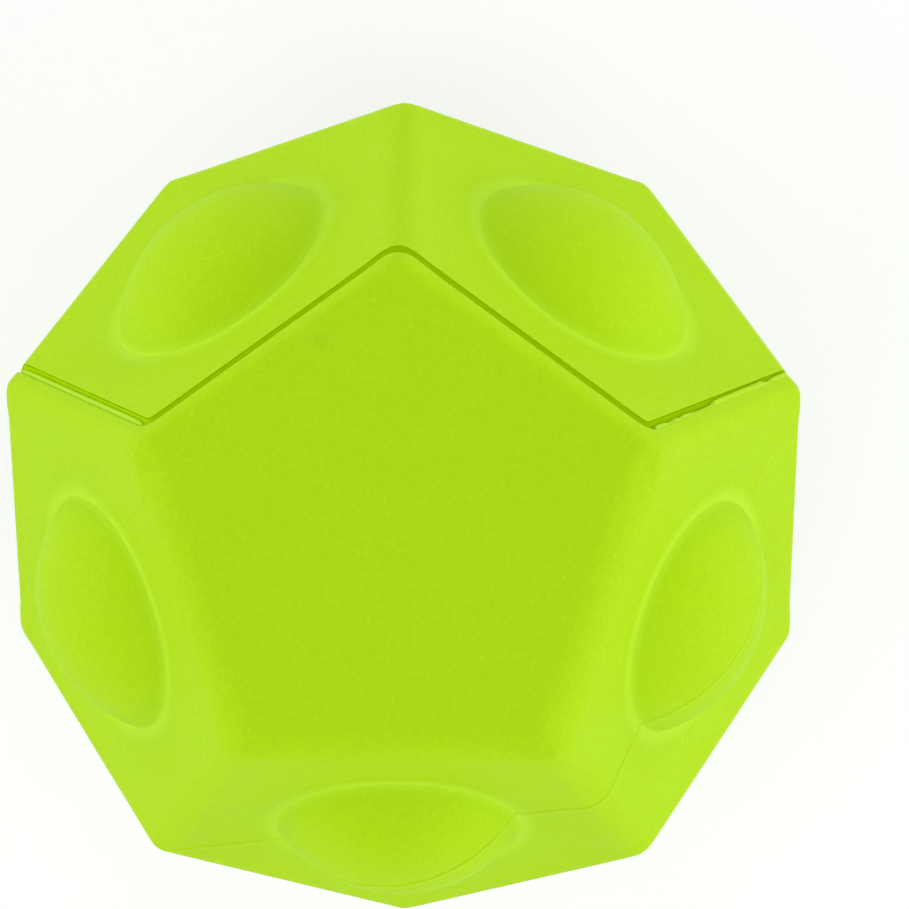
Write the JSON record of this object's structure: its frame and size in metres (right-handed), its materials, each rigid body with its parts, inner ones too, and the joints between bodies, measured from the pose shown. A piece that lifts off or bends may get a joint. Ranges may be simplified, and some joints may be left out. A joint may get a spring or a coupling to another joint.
{
  "type": "push-pop squeeze ball",
  "caption": "Hollow silicone squeeze ball shaped as a dodecahedron, with a round push-pop bubble in every face but one and a zigzag slit between its two halves.",
  "frame": {"origin": "centre of the back face, which the ball lies on", "axes": "+Z out of the flat face, +Y towards the peak of the slit, +X to the right when the flat face is seen with the peak of the slit up"},
  "size_m": [0.0654, 0.0688, 0.0556],
  "materials": {
    "shell": "matte silicone, lime green",
    "bubble": "matte silicone, lime green, thinner skin"
  },
  "bodies": {
    "base_shell": {"base_shell": "shell", "living_hinge": "shell"},
    "front_shell": {"front_shell": "shell"},
    "upper_bubble_1": {"upper_bubble_1": "bubble"},
    "upper_bubble_2": {"upper_bubble_2": "bubble"},
    "upper_bubble_3": {"upper_bubble_3": "bubble"},
    "upper_bubble_4": {"upper_bubble_4": "bubble"},
    "upper_bubble_5": {"upper_bubble_5": "bubble"},
    "lower_bubble_1": {"lower_bubble_1": "bubble"},
    "lower_bubble_2": {"lower_bubble_2": "bubble"},
    "lower_bubble_3": {"lower_bubble_3": "bubble"},
    "lower_bubble_4": {"lower_bubble_4": "bubble"},
    "lower_bubble_5": {"lower_bubble_5": "bubble"},
    "back_bubble": {"back_bubble": "bubble"}
  },
  "joints": [
    {"name": "mouth_hinge", "type": "hinge", "parent": "base_shell", "child": "front_shell", "pos_m": [0, -0.02125, 0], "axis": [1, 0, 0], "range_deg": [0, 30], "stiffness_Nm_per_rad": 0.02},
    {"name": "upper_bubble_1_push", "type": "slide", "parent": "base_shell", "child": "upper_bubble_1", "axis": [0.5257, 0.7236, 0.4472], "range_m": [-0.01, 0]},
    {"name": "upper_bubble_2_push", "type": "slide", "parent": "base_shell", "child": "upper_bubble_2", "axis": [-0.5257, 0.7236, 0.4472], "range_m": [-0.01, 0]},
    {"name": "upper_bubble_3_push", "type": "slide", "parent": "front_shell", "child": "upper_bubble_3", "axis": [-0.8507, -0.2764, 0.4472], "range_m": [-0.01, 0]},
    {"name": "upper_bubble_4_push", "type": "slide", "parent": "front_shell", "child": "upper_bubble_4", "axis": [0, -0.8944, 0.4472], "range_m": [-0.01, 0]},
    {"name": "upper_bubble_5_push", "type": "slide", "parent": "front_shell", "child": "upper_bubble_5", "axis": [0.8507, -0.2764, 0.4472], "range_m": [-0.01, 0]},
    {"name": "lower_bubble_1_push", "type": "slide", "parent": "base_shell", "child": "lower_bubble_1", "axis": [0.8507, 0.2764, -0.4472], "range_m": [-0.01, 0]},
    {"name": "lower_bubble_2_push", "type": "slide", "parent": "base_shell", "child": "lower_bubble_2", "axis": [0, 0.8944, -0.4472], "range_m": [-0.01, 0]},
    {"name": "lower_bubble_3_push", "type": "slide", "parent": "base_shell", "child": "lower_bubble_3", "axis": [-0.8507, 0.2764, -0.4472], "range_m": [-0.01, 0]},
    {"name": "lower_bubble_4_push", "type": "slide", "parent": "front_shell", "child": "lower_bubble_4", "axis": [-0.5257, -0.7236, -0.4472], "range_m": [-0.01, 0]},
    {"name": "lower_bubble_5_push", "type": "slide", "parent": "front_shell", "child": "lower_bubble_5", "axis": [0.5257, -0.7236, -0.4472], "range_m": [-0.01, 0]},
    {"name": "back_bubble_push", "type": "slide", "parent": "base_shell", "child": "back_bubble", "axis": [0, 0, -1], "range_m": [0, 0.01]}
  ]
}
